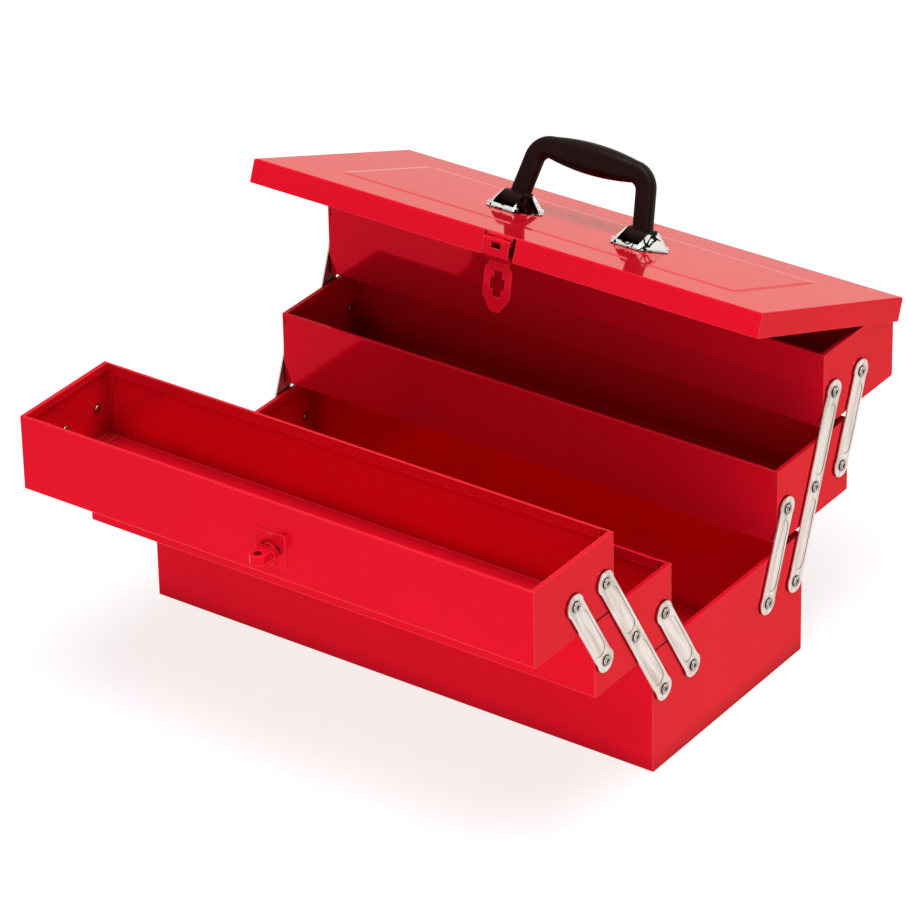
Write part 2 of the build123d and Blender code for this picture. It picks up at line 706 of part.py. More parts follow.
# Handle mounts: a plate and a faceted dome, cut through for the foot of the handle
mount_centres = [-handle_span / 2, handle_span / 2]
mount_level = placed(lid, Plane.XY.offset(lid_top + panel_raise))
mount_top = panel_raise + mount_sheet
dome_levels = [(mount_sheet, dome_radius), (mount_sheet + dome_height, dome_top_radius)]
handle_axis = Vector(0, lid_middle - handle_pin_forward, lid_top + handle_pin_height)
pin_frame = placed(lid, Plane(origin=handle_axis))
cut_width = foot_width + 2 * lug_gap
cut_front = lid_middle - handle_pin_forward - barrel_radius - dome_lip_gap
pin_half_length = foot_width / 2 + pin_overhang
for centre, hand_name in zip(mount_centres, ("left", "right")):
    with BuildPart() as mount:
        with BuildSketch(mount_level) as plate:
            with Locations((centre, lid_middle)):
                RegularPolygon(mount_radius, 6)
            fillet(plate.vertices(), mount_corner_radius)
        extrude(amount=mount_sheet)
        chamfer(mount.faces().sort_by(lid_up)[-1].edges(), mount_break)
        for height, radius in dome_levels:
            with BuildSketch(mount_level.offset(height)) as outline:
                with Locations((centre, lid_middle)):
                    RegularPolygon(radius, 6)
                fillet(outline.vertices(), dome_corner_radius)
        loft()
        with BuildSketch(mount_level.offset(mount_sheet)):
            with Locations((centre, cut_front + mount_radius)):
                Rectangle(cut_width, 2 * mount_radius)
        extrude(amount=dome_height, mode=Mode.SUBTRACT)
        with BuildSketch(mount_level.offset(mount_sheet + dome_lip_height)):
            with Locations((centre, lid_middle)):
                Rectangle(cut_width, 2 * mount_radius)
        extrude(amount=dome_height, mode=Mode.SUBTRACT)
        with BuildSketch(placed(pin_frame, Plane.YZ.offset(centre))):
            Circle(handle_pin_radius + fixed_gap)
        extrude(amount=pin_half_length, both=True, mode=Mode.SUBTRACT)
        with BuildSketch(mount_level):
            with Locations([(centre + side * mount_rivet_offset, lid_middle) for side in (-1, 1)]):
                Circle(mount_rivet_radius + fixed_gap)
        extrude(amount=mount_rivet_length + fixed_gap, mode=Mode.SUBTRACT)
    save(mount.part, f"handle_mount_{hand_name}")

with BuildPart() as mount_rivet:
    with BuildSketch(Plane.XY.offset(-sheet)):
        Circle(mount_rivet_radius)
    extrude(amount=sheet + mount_rivet_length)
    with BuildSketch(Plane.XY.offset(-sheet)):
        Circle(mount_rivet_head_radius)
    extrude(amount=-mount_rivet_head_height)
    fillet(mount_rivet.faces().sort_by(Axis.Z)[0].edges(), mount_rivet_head_height * 0.7)
with BuildPart() as mount_rivets:
    with Locations([
        placed(mount_level, Plane(origin=(x, lid_middle, 0))).location
        for x in mount_rivet_places
    ]):
        add(mount_rivet.part)
save(mount_rivets.part, "handle_mount_rivets")

with BuildPart() as handle_pins:
    for centre in mount_centres:
        with BuildSketch(placed(pin_frame, Plane.YZ.offset(centre))):
            Circle(handle_pin_radius)
        extrude(amount=pin_half_length, both=True)
save(handle_pins.part, "handle_pins")

# Handle, in a frame on its pins whose +Z runs up the legs
handle_turn = radians(lid_tilt + handle_lean)
handle_up = Vector(0, sin(handle_turn), cos(handle_turn))
handle_frame = Plane(origin=pin_frame.origin, x_dir=(1, 0, 0), z_dir=handle_up)
leg_front = leg_setback - leg_thickness / 2
leg_back = leg_setback + leg_thickness / 2
heel_clearance = handle_pin_height - mount_top - handle_stop_gap
heel = leg_back * sin(radians(handle_lean)) - heel_clearance
splay = radians(leg_splay)


def handle_station(x, height, direction):
    """Give a cross-section plane of the handle, square to its angle from +Z towards -X."""
    z_dir = (-sin(direction), 0, cos(direction))
    return Plane(origin=(x, leg_setback, height), x_dir=(0, 1, 0), z_dir=z_dir)


def corner_section(share):
    """Give the plane and size of the section part of the way round a corner."""
    direction = splay + share * (radians(90) - splay)
    x = bend_middle_x + corner_radius * cos(direction)
    height = bend_middle_height + corner_radius * sin(direction)
    thickness = leg_thickness + (grip_end_thickness - leg_thickness) * share
    rise = leg_width + (grip_end_rise - leg_width) * share
    corner_round = leg_round + (grip_end_thickness * grip_round - leg_round) * share
    return handle_station(x, height, direction), thickness, rise, corner_round


def grip_section(x):
    """Give the plane and size of the section of the grip at a distance from its middle."""
    swell = 1 - (x / grip_half_length) ** 2
    thickness = grip_end_thickness + (grip_thickness - grip_end_thickness) * swell
    rise = grip_end_rise + (grip_rise - grip_end_rise) * swell
    return handle_station(x, grip_height, radians(90)), thickness, rise, thickness * grip_round


bend_middle_height = grip_height - corner_radius
corner_start = bend_middle_height + corner_radius * sin(splay)
leg_end_x = handle_span / 2 - corner_start * sin(splay) / cos(splay)
bend_middle_x = leg_end_x - corner_radius * cos(splay)
grip_half_length = bend_middle_x
with BuildPart() as handle:
    for index in range(-grip_steps, grip_steps + 1):
        plane, thickness, rise, corner_round = grip_section(-index * grip_half_length / grip_steps)
        with BuildSketch(placed(handle_frame, plane)):
            RectangleRounded(thickness, rise, corner_round)
    loft()
    for index in range(corner_steps + 1):
        plane, thickness, rise, corner_round = corner_section(index / corner_steps)
        with BuildSketch(placed(handle_frame, plane)):
            RectangleRounded(thickness, rise, corner_round)
    loft()
    with BuildSketch(placed(handle_frame, handle_station(handle_span / 2, 0, splay))):
        RectangleRounded(leg_thickness, leg_width, leg_round)
    extrude(amount=corner_start / cos(splay))
    mirror(about=placed(handle_frame, Plane.YZ))
    for centre in mount_centres:
        with BuildSketch(placed(handle_frame, Plane.YZ.offset(centre))):
            Circle(barrel_radius)
            with BuildLine():
                Polyline(
                    (0, barrel_radius),
                    (leg_front, foot_height),
                    (leg_back, foot_height),
                    (leg_back, heel),
                    (0, -barrel_radius),
                    close=True,
                )
            make_face()
        extrude(amount=foot_width / 2, both=True)
    with BuildSketch(placed(handle_frame, Plane.YZ)):
        Circle(handle_pin_radius + running_gap)
    extrude(amount=handle_span, both=True, mode=Mode.SUBTRACT)
save(handle.part, "handle")
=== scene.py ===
"""Dress the cantilever tool box: its enamel, plated links, chrome mounts and moulded handle.

The box is sheet steel, pressed and spot-welded, then sprayed with one coat of red enamel
and baked. The links, rivets and washers are plated and go on after painting, so they stay
bare metal. Every shape is the part's own: only finishes, a camera, a floor and lamps are
added here.
"""

from __future__ import annotations

import logging
from dataclasses import dataclass, replace
from enum import Enum
from math import radians

import bpy
from mathutils import Matrix, Vector


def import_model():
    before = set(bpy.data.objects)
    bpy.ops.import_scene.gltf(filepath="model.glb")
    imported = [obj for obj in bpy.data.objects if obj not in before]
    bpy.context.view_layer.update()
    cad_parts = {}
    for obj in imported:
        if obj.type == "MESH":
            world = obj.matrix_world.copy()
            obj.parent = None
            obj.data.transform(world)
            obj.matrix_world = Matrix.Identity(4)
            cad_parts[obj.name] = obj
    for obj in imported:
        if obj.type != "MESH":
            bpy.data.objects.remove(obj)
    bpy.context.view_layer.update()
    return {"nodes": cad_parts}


log = logging.getLogger("tool_box")

Tree = bpy.types.NodeTree
Socket = bpy.types.NodeSocket
Colour = tuple[float, float, float, float]
Point = tuple[float, float, float]

MM = 0.001
WHITE = "#ffffff"

# The refractive index of cured enamel resin and of the handle's plastic.
RESIN_IOR = 1.5

# Rays that feel out a corner or a fold: few for soft shades, more for small hollows.
SOFT_SAMPLES = 4
FINE_SAMPLES = 8

# The cosine between the rounded normal and the sheet's, at a sharp fold and on the flat.
FOLD_COSINE = 0.8
FLAT_COSINE = 0.995

# The sockets of a Mix node that mixes colours. Its other kinds use the same names.
MIX_SHARE, MIX_FIRST, MIX_SECOND, MIX_RESULT = 0, 6, 7, 2


# Helpers -----------------------------------------------------------------------------


def srgb(code: str) -> Colour:
    """Turn an sRGB hex colour into the linear colour that a shader takes.

    Args:
        code: The colour, such as "#e61a2e".

    Returns:
        Linear red, green and blue, and an alpha of 1.
    """
    channels = (int(code[start : start + 2], 16) / 255 for start in (1, 3, 5))
    linear = [c / 12.92 if c <= 0.04045 else ((c + 0.055) / 1.055) ** 2.4 for c in channels]
    return (linear[0], linear[1], linear[2], 1.0)


def per_metre(size_mm: float) -> float:
    """Turn the size of a pattern's repeat in millimetres into a texture scale."""
    return 1 / (size_mm * MM)


def clear_tree(owner: bpy.types.Material | bpy.types.World) -> Tree:
    """Give a material or a world an empty node tree and return the tree."""
    owner.use_nodes = True
    owner.node_tree.nodes.clear()
    return owner.node_tree


def add_node(tree: Tree, kind: str, settings: dict[str | int, object]) -> bpy.types.Node:
    """Add one shader node with its settings and links.

    Args:
        tree: The node tree that the node joins.
        kind: The node's type name.
        settings: What a property or an input is given: a value, or the socket of another
            node that feeds it. A property goes by its name, an input by name or number.

    Returns:
        The new node.
    """
    node = tree.nodes.new(kind)
    for name, value in settings.items():
        if isinstance(value, Socket):
            tree.links.new(value, node.inputs[name])
        elif isinstance(name, str) and hasattr(node, name):
            setattr(node, name, value)
        else:
            node.inputs[name].default_value = value
    return node


def add_folds(tree: Tree, reach_mm: float, most: float) -> Socket:
    """Find folds and edges, where a rounded normal leaves the normal of the sheet.

    Args:
        tree: The node tree.
        reach_mm: How far from the fold the share reaches.
        most: The share at a sharp fold.

    Returns:
        The share, which is 0 away from folds.
    """
    rounded = add_node(
        tree, "ShaderNodeBevel", {"samples": SOFT_SAMPLES, "Radius": reach_mm * MM}
    )
    sheet = add_node(tree, "ShaderNodeNewGeometry", {})
    straightness = add_node(
        tree,
        "ShaderNodeVectorMath",
        {"operation": "DOT_PRODUCT", 0: rounded.outputs["Normal"], 1: sheet.outputs["Normal"]},
    )
    share = add_node(
        tree,
        "ShaderNodeMapRange",
        {
            "Value": straightness.outputs["Value"],
            "From Min": FOLD_COSINE,
            "From Max": FLAT_COSINE,
            "To Min": most,
            "To Max": 0.0,
        },
    )
    return share.outputs["Result"]


# Finishes ----------------------------------------------------------------------------


@dataclass(frozen=True)
class Finish:
    """What every finish has: a name, a base colour and a surface.

    Attributes:
        name: The material's name.
        colour: The sRGB colour of the clean surface.
        roughness: The roughness of the clean surface.
    """

    name: str
    colour: str
    roughness: float

    def make(self) -> bpy.types.Material:
        """Make the material and return it."""
        material = bpy.data.materials.new(self.name)
        tree = clear_tree(material)
        place = add_node(tree, "ShaderNodeTexCoord", {}).outputs["Object"]
        shader = self.shade(tree, place)
        add_node(tree, "ShaderNodeOutputMaterial", {"Surface": shader.outputs[0]})
        return material

    def shade(self, tree: Tree, place: Socket) -> bpy.types.Node:
        """Build the finish's own nodes.

        Args:
            tree: The material's node tree.
            place: The position on the object, in metres.

        Returns:
            The surface shader.
        """
        raise NotImplementedError


@dataclass(frozen=True)
class BakedEnamel(Finish):
    """Alkyd enamel, sprayed on pressed steel and baked.

    It dries glossy with a faint orange peel. Its folds get a painted pale highlight, and
    its corners a painted deep shade.

    Attributes:
        thin_colour: The colour where the spray drifted thin.
        thin_share: The most of it that shows.
        drift_mm: The size of the drifts.
        fold_highlight_colour: The colour of the painted highlight along folds and cut edges.
        fold_highlight_share: The most of it that shows.
        fold_mm: How far the painted highlight reaches from a fold.
        corner_shade_colour: The colour of the painted shade in corners.
        corner_shade_share: The most of it that shows.
        corner_shade_mm: How far the painted shade reaches from a corner.
        peel_mm: The size of the orange peel's dimples.
        peel_depth_mm: Their depth.
        smear_mm: The size of the smears that handling leaves.
        specular: The share of a full gloss.
        tinted_share: The share of the mirror image that comes off the pigment, and is red.
        edge_tint: The colour of a grazing mirror image.
    """

    thin_colour: str
    thin_share: float
    drift_mm: float
    fold_highlight_colour: str
    fold_highlight_share: float
    fold_mm: float
    corner_shade_colour: str
    corner_shade_share: float
    corner_shade_mm: float
    peel_mm: float
    peel_depth_mm: float
    smear_mm: float
    specular: float
    tinted_share: float
    edge_tint: str

    def shade(self, tree: Tree, place: Socket) -> bpy.types.Node:
        """Build the enamel. See Finish.shade for the arguments and what it returns."""
        # Handling leaves fine smears, which only change the gloss.
        smears = add_node(
            tree,
            "ShaderNodeTexNoise",
            {
                "Vector": place,
                "Scale": per_metre(self.smear_mm),
                "Detail": 5.0,
                "Roughness": 0.62,
                "Distortion": 0.6,
            },
        )
        gloss = add_node(
            tree,
            "ShaderNodeMapRange",
            {
                "Value": smears.outputs["Fac"],
                "From Min": 0.3,
                "From Max": 0.8,
                "To Min": self.roughness * 0.85,
                "To Max": self.roughness * 1.35,
            },
        )
        peel = add_node(
            tree,
            "ShaderNodeTexNoise",
            {
                "Vector": place,
                "Scale": per_metre(self.peel_mm),
                "Detail": 1.0,
                "Roughness": 0.3,
            },
        )
        relief = add_node(
            tree,
            "ShaderNodeBump",
            {
                "Height": peel.outputs["Fac"],
                "Strength": 1.0,
                "Distance": self.peel_depth_mm * MM,
            },
        )
        return add_node(
            tree,
            "ShaderNodeBsdfPrincipled",
            {
                "Base Color": self.coat(tree, place),
                "Metallic": self.tinted_share,
                "Roughness": gloss.outputs["Result"],
                "IOR": RESIN_IOR,
                "Specular IOR Level": self.specular,
                "Specular Tint": srgb(self.edge_tint),
                "Normal": relief.outputs["Normal"],
            },
        )

    def coat(self, tree: Tree, place: Socket) -> Socket:
        """Colour the coat by its thickness.

        Args:
            tree: The material's node tree.
            place: The position on the object, in metres.

        Returns:
            The colour of the enamel.
        """
        # The spray leaves slow drifts of thickness over a hand's breadth.
        drift = add_node(
            tree,
            "ShaderNodeTexNoise",
            {
                "Vector": place,
                "Scale": per_metre(self.drift_mm),
                "Detail": 2.0,
                "Roughness": 0.4,
            },
        )
        thin = add_node(
            tree,
            "ShaderNodeMapRange",
            {
                "Value": drift.outputs["Fac"],
                "From Min": 0.35,
                "From Max": 0.75,
                "To Min": 0.0,
                "To Max": self.thin_share,
            },
        )
        sprayed = add_node(
            tree,
            "ShaderNodeMix",
            {
                "data_type": "RGBA",
                MIX_SHARE: thin.outputs["Result"],
                MIX_FIRST: srgb(self.colour),
                MIX_SECOND: srgb(self.thin_colour),
            },
        )
        # Painted shade: the corners are darkened by how closed in they are.
        openness = add_node(
            tree,
            "ShaderNodeAmbientOcclusion",
            {"Distance": self.corner_shade_mm * MM, "samples": SOFT_SAMPLES},
        )
        deep = add_node(
            tree,
            "ShaderNodeMapRange",
            {
                "Value": openness.outputs["AO"],
                "From Min": 0.25,
                "From Max": 0.75,
                "To Min": self.corner_shade_share,
                "To Max": 0.0,
            },
        )
        corner_shaded = add_node(
            tree,
            "ShaderNodeMix",
            {
                "data_type": "RGBA",
                MIX_SHARE: deep.outputs["Result"],
                MIX_FIRST: sprayed.outputs[MIX_RESULT],
                MIX_SECOND: srgb(self.corner_shade_colour),
            },
        )
        # Painted highlight: the folds and edges are made paler.
        baked = add_node(
            tree,
            "ShaderNodeMix",
            {
                "data_type": "RGBA",
                MIX_SHARE: add_folds(tree, self.fold_mm, self.fold_highlight_share),
                MIX_FIRST: corner_shaded.outputs[MIX_RESULT],
                MIX_SECOND: srgb(self.fold_highlight_colour),
            },
        )
        return baked.outputs[MIX_RESULT]


@dataclass(frozen=True)
class PlatedSteel(Finish):
    """Mild steel, stamped from cold-rolled strip and barrel-plated.

    The rolled grain runs along the strip and the plating clouds in patches. Hollows
    get a painted shade.

    Attributes:
        hollow_shade_colour: The colour of the painted shade in hollows and at cut edges.
        cloud_colour: The colour of the clouded patches.
        cloud_mm: The size of the patches.
        grain_mm: The width of the rolled grain.
        grain_stretch: How many times longer than wide the grain is.
        hollow_mm: How far the painted shade reaches from the side of a hollow.
        lean_deg: The lean of the grain from upright, back from the front of the box.
        grain_depth_mm: The depth of the grain.
        grain_strength: The share of its relief that shows.
    """

    hollow_shade_colour: str
    cloud_colour: str
    cloud_mm: float
    grain_mm: float
    grain_stretch: float
    hollow_mm: float
    lean_deg: float
    grain_depth_mm: float = 0.03
    grain_strength: float = 0.6

    def shade(self, tree: Tree, place: Socket) -> bpy.types.Node:
        """Build the plating. See Finish.shade for the arguments and what it returns."""
        along_strip = add_node(
            tree,
            "ShaderNodeMapping",
            {
                "vector_type": "TEXTURE",
                "Vector": place,
                "Rotation": (-radians(self.lean_deg), 0.0, 0.0),
                "Scale": (1.0, 1.0, self.grain_stretch),
            },
        )
        # The rolled grain is drawn coarser than it is, or it would not show in a picture.
        grain = add_node(
            tree,
            "ShaderNodeTexNoise",
            {
                "Vector": along_strip.outputs["Vector"],
                "Scale": per_metre(self.grain_mm),
                "Detail": 4.0,
                "Roughness": 0.6,
            },
        )
        clouds = add_node(
            tree,
            "ShaderNodeTexNoise",
            {
                "Vector": along_strip.outputs["Vector"],
                "Scale": per_metre(self.cloud_mm),
                "Detail": 3.0,
                "Roughness": 0.55,
            },
        )
        clouded = add_node(
            tree,
            "ShaderNodeMapRange",
            {"Value": clouds.outputs["Fac"], "From Min": 0.42, "From Max": 0.68},
        )
        plated = add_node(
            tree,
            "ShaderNodeMix",
            {
                "data_type": "RGBA",
                MIX_SHARE: clouded.outputs["Result"],
                MIX_FIRST: srgb(self.colour),
                MIX_SECOND: srgb(self.cloud_colour),
            },
        )
        # Painted shade: hollows and the edges beside them are darkened by how closed in they
        # are.
        openness = add_node(
            tree,
            "ShaderNodeAmbientOcclusion",
            {"Distance": self.hollow_mm * MM, "samples": FINE_SAMPLES},
        )
        hollow = add_node(
            tree,
            "ShaderNodeMapRange",
            {
                "Value": openness.outputs["AO"],
                "From Min": 0.62,
                "From Max": 0.97,
                "To Min": 1.0,
                "To Max": 0.0,
            },
        )
        hollow_shaded = add_node(
            tree,
            "ShaderNodeMix",
            {
                "data_type": "RGBA",
                MIX_SHARE: hollow.outputs["Result"],
                MIX_FIRST: plated.outputs[MIX_RESULT],
                MIX_SECOND: srgb(self.hollow_shade_colour),
            },
        )
        gloss = add_node(
            tree,
            "ShaderNodeMapRange",
            {
                "Value": grain.outputs["Fac"],
                "From Min": 0.3,
                "From Max": 0.7,
                "To Min": self.roughness * 0.8,
                "To Max": self.roughness * 1.25,
            },
        )
        relief = add_node(
            tree,
            "ShaderNodeBump",
            {
                "Height": grain.outputs["Fac"],
                "Strength": self.grain_strength,
                "Distance": self.grain_depth_mm * MM,
            },
        )
        return add_node(
            tree,
            "ShaderNodeBsdfPrincipled",
            {
                "Base Color": hollow_shaded.outputs[MIX_RESULT],
                "Metallic": 1.0,
                "Roughness": gloss.outputs["Result"],
                "Normal": relief.outputs["Normal"],
            },
        )


@dataclass(frozen=True)
class ChromePlate(Finish):
    """Steel pressings, polished and chromed.

    The polish leaves a mirror with shallow waves. Its creases get a painted shade, and its
    folds and the gaps between its waves get painted dark reflection lines.

    Attributes:
        shade_and_dark_reflection_colour: The colour of the painted shade and dark reflection.
        crease_mm: How far it reaches out of a crease.
        fold_mm: How far it reaches from a fold.
        wave_mm: The length of the waves.
        wave_depth_mm: Their depth.
        line_level: The wave height of a painted dark reflection line, from 0 to 1.
        line_share: Half the width of the line, as a share of the wave's height.
    """

    shade_and_dark_reflection_colour: str
    crease_mm: float
    fold_mm: float
    wave_mm: float
    wave_depth_mm: float
    line_level: float
    line_share: float

    def shade(self, tree: Tree, place: Socket) -> bpy.types.Node:
        """Build the chrome. See Finish.shade for the arguments and what it returns."""
        # Painted shade: the creases are darkened by how closed in they are.
        openness = add_node(
            tree,
            "ShaderNodeAmbientOcclusion",
            {"Distance": self.crease_mm * MM, "samples": FINE_SAMPLES},
        )
        thin = add_node(
            tree,
            "ShaderNodeMapRange",
            {
                "Value": openness.outputs["AO"],
                "From Min": 0.45,
                "From Max": 0.9,
                "To Min": 1.0,
                "To Max": 0.0,
            },
        )
        wave = add_node(
            tree,
            "ShaderNodeTexNoise",
            {"Vector": place, "Scale": per_metre(self.wave_mm), "Detail": 1.0},
        )
        # Painted reflection: thin dark lines between the waves stand for the dark corners of a
        # room.
        line = add_node(
            tree,
            "ShaderNodeMath",
            {
                "operation": "COMPARE",
                0: wave.outputs["Fac"],
                1: self.line_level,
                2: self.line_share,
            },
        )
        colour = srgb(self.colour)
        # Painted shade in the creases, and painted dark reflection along the folds and between
        # the waves.
        for dark_share in (
            thin.outputs["Result"],
            add_folds(tree, self.fold_mm, 1.0),
            line.outputs["Value"],
        ):
            darkened = add_node(
                tree,
                "ShaderNodeMix",
                {
                    "data_type": "RGBA",
                    MIX_SHARE: dark_share,
                    MIX_FIRST: colour,
                    MIX_SECOND: srgb(self.shade_and_dark_reflection_colour),
                },
            )
            colour = darkened.outputs[MIX_RESULT]
        relief = add_node(
            tree,
            "ShaderNodeBump",
            {
                "Height": wave.outputs["Fac"],
                "Strength": 1.0,
                "Distance": self.wave_depth_mm * MM,
            },
        )
        return add_node(
            tree,
            "ShaderNodeBsdfPrincipled",
            {
                "Base Color": colour,
                "Metallic": 1.0,
                "Roughness": self.roughness,
                "Normal": relief.outputs["Normal"],
            },
        )


@dataclass(frozen=True)
class MouldedPlastic(Finish):
    """Filled plastic, injection moulded in a spark-eroded mould.

    The mould's matt texture scatters highlights, and hands polish it on the grip.

    Attributes:
        worn_colour: The colour where the texture is polished.
        worn_mm: The size of the polished patches.
        texture_mm: The size of the mould's texture.
        texture_depth_mm: Its depth.
        texture_strength: The share of its relief that shows.
        specular: The share of a full gloss.
    """

    worn_colour: str
    worn_mm: float
    texture_mm: float
    texture_depth_mm: float
    texture_strength: float
    specular: float

    def shade(self, tree: Tree, place: Socket) -> bpy.types.Node:
        """Build the plastic. See Finish.shade for the arguments and what it returns."""
        # The mould's texture is drawn coarser than it is, or it would not show.
        texture = add_node(
            tree,
            "ShaderNodeTexVoronoi",
            {"Vector": place, "Scale": per_metre(self.texture_mm)},
        )
        worn = add_node(
            tree,
            "ShaderNodeTexNoise",
            {"Vector": place, "Scale": per_metre(self.worn_mm), "Detail": 3.0},
        )
        polished = add_node(
            tree,
            "ShaderNodeMix",
            {
                "data_type": "RGBA",
                MIX_SHARE: worn.outputs["Fac"],
                MIX_FIRST: srgb(self.colour),
                MIX_SECOND: srgb(self.worn_colour),
            },
        )
        gloss = add_node(
            tree,
            "ShaderNodeMapRange",
            {
                "Value": worn.outputs["Fac"],
                "From Min": 0.3,
                "From Max": 0.7,
                "To Min": self.roughness * 1.1,
                "To Max": self.roughness * 0.85,
            },
        )
        relief = add_node(
            tree,
            "ShaderNodeBump",
            {
                "Height": texture.outputs["Distance"],
                "Strength": self.texture_strength,
                "Distance": self.texture_depth_mm * MM,
            },
        )
        return add_node(
            tree,
            "ShaderNodeBsdfPrincipled",
            {
                "Base Color": polished.outputs[MIX_RESULT],
                "Roughness": gloss.outputs["Result"],
                "IOR": RESIN_IOR,
                "Specular IOR Level": self.specular,
                "Normal": relief.outputs["Normal"],
            },
        )


class Surface(Enum):
    """The finishes of the tool box, one for each way that its pieces are made."""

    # Alkyd enamel, sprayed on the welded box and baked: an even, wet-looking red with a painted
    # highlight along the folds and painted shade in the corners.
    ENAMEL = BakedEnamel(
        name="red_baked_enamel",
        colour="#d71028",
        roughness=0.06,
        thin_colour="#cd1025",
        thin_share=0.5,
        drift_mm=90.0,
        fold_highlight_colour="#ff5a62",
        fold_highlight_share=0.55,
        fold_mm=0.8,
        corner_shade_colour="#7a030e",
        corner_shade_share=0.8,
        corner_shade_mm=34.0,
        peel_mm=2.4,
        peel_depth_mm=0.0025,
        smear_mm=14.0,
        specular=0.02,
        tinted_share=0.3,
        edge_tint="#fff2d8",
    )
    # Steel strip, stamped along its rolled grain and nickel-plated in a barrel: a soft, warm
    # grey sheen drawn out along the link, with a painted shade line where the recess dips.
    FRONT_LINK = PlatedSteel(
        name="nickel_plated_front_link",
        colour="#e2d9d2",
        roughness=0.36,
        hollow_shade_colour="#77695f",
        cloud_colour="#c2b1a4",
        cloud_mm=5.0,
        grain_mm=0.7,
        grain_stretch=9.0,
        hollow_mm=2.0,
        lean_deg=-30.4,
    )
    # The same strip, whose grain leans as the rear links do.
    REAR_LINK = replace(FRONT_LINK, name="nickel_plated_rear_link", lean_deg=20.75)
    # Steel wire, cold-headed and zinc-plated in a barrel: small bright heads without grain,
    # with painted shade in their dimples.
    RIVET = PlatedSteel(
        name="bright_zinc_rivet_steel",
        colour="#b9afa7",
        roughness=0.28,
        hollow_shade_colour="#241c18",
        cloud_colour="#85786f",
        cloud_mm=3.0,
        grain_mm=0.9,
        grain_stretch=1.0,
        hollow_mm=2.6,
        lean_deg=0.0,
    )
    # Steel, drawn deep, buffed on a wheel and chromed over nickel: a hard mirror of white
    # planes, with painted dark reflection lines and painted shade in its creases.
    CHROME = ChromePlate(
        name="chrome_plated_pressing",
        colour="#e9e8e4",
        roughness=0.05,
        shade_and_dark_reflection_colour="#1d1a18",
        crease_mm=4.5,
        fold_mm=1.3,
        wave_mm=9.0,
        wave_depth_mm=0.8,
        line_level=0.5,
        line_share=0.035,
    )
    # Filled polypropylene, moulded in a spark-eroded mould: nearly black with a brown cast,
    # and a broad dull highlight.
    HANDLE = MouldedPlastic(
        name="black_brown_moulded_handle",
        colour="#130404",
        roughness=0.4,
        worn_colour="#180607",
        worn_mm=22.0,
        texture_mm=0.9,
        texture_depth_mm=0.06,
        texture_strength=0.5,
        specular=0.07,
    )


class Paintbox:
    """Makes each finish once, and hands out its material."""

    def __init__(self) -> None:
        """Start with no materials made."""
        self.made: dict[Surface, bpy.types.Material] = {}

    def material(self, surface: Surface) -> bpy.types.Material:
        """Return the material of a finish, making it the first time."""
        if surface not in self.made:
            self.made[surface] = surface.value.make()
        return self.made[surface]

    def dress(self, piece: bpy.types.Object, surface: Surface) -> None:
        """Give a piece one finish all over."""
        piece.data.materials.clear()
        piece.data.materials.append(self.material(surface))


# Sub-assemblies ----------------------------------------------------------------------


@dataclass(frozen=True)
class SubAssembly:
    """Pieces that are made together, each with the finish it is given before fitting.

    Attributes:
        name: What the group is called in the log.
    """

    name: str

    def finishes(self) -> dict[str, Surface]:
        """Return the finish of each piece, by the name of its node."""
        raise NotImplementedError

    def dress(self, nodes: dict[str, bpy.types.Object], paint: Paintbox) -> None:
        """Finish the pieces and report each.

        Args:
            nodes: The objects of the part, by the names of their nodes.
            paint: The materials.
        """
        for piece, surface in self.finishes().items():
            paint.dress(nodes[piece], surface)
            log.info("%s: %s in %s", self.name, piece, surface.value.name)


@dataclass(frozen=True)
class PressedBox(SubAssembly):
    """The base or a tray: one bent sheet, two end panels and the pivot rivets."""

    def finishes(self) -> dict[str, Surface]:
        """Enamel the sheets, and leave rivets and washers bright."""
        kinds = ("wrap", "end_left", "end_right")
        sheets = {f"{self.name}_{kind}": Surface.ENAMEL for kind in kinds}
        fasteners = {f"{self.name}_{kind}": Surface.RIVET for kind in ("rivets", "washers")}
        return sheets | fasteners


@dataclass(frozen=True)
class Linkage(SubAssembly):
    """The flat links that swing one stack of trays open, on both ends of the box.

    Attributes:
        plating: The finish of the links, whose grain follows their lean.
    """

    plating: Surface

    def finishes(self) -> dict[str, Surface]:
        """Plate the long and the short links."""
        kinds = ("long_link", "lower_short_link", "upper_short_link")
        links = (f"{self.name}_{kind}_{hand}" for kind in kinds for hand in ("left", "right"))
        return {link: self.plating for link in links}


@dataclass(frozen=True)
class Lid(SubAssembly):
    """The lid with its two hinges, painted in place."""

    def finishes(self) -> dict[str, Surface]:
        """Enamel the shell and the leaves, and leave the pins bright."""
        painted = ("lid_shell", "lid_hinge_lid_leaf", "lid_hinge_tray_leaf")
        return {piece: Surface.ENAMEL for piece in painted} | {"lid_hinge_pins": Surface.RIVET}


@dataclass(frozen=True)
class Latch(SubAssembly):
    """The hasp and the turn catch, both painted with the box."""

    def finishes(self) -> dict[str, Surface]:
        """Enamel every piece but the pin."""
        painted = (
            "hasp_leaf",
            "hasp_strap",
            "turn_catch_plate",
            "turn_catch_head",
            "turn_catch_rivets",
        )
        return {piece: Surface.ENAMEL for piece in painted} | {"hasp_pin": Surface.RIVET}


@dataclass(frozen=True)
class CarryingHandle(SubAssembly):
    """The moulded handle on its two chromed mounts."""

    def finishes(self) -> dict[str, Surface]:
        """Mould the handle, chrome the mounts and leave the fasteners bright."""
        return {
            "handle": Surface.HANDLE,
            "handle_mount_left": Surface.CHROME,
            "handle_mount_right": Surface.CHROME,
            "handle_pins": Surface.RIVET,
            "handle_mount_rivets": Surface.RIVET,
        }


# Studio ------------------------------------------------------------------------------


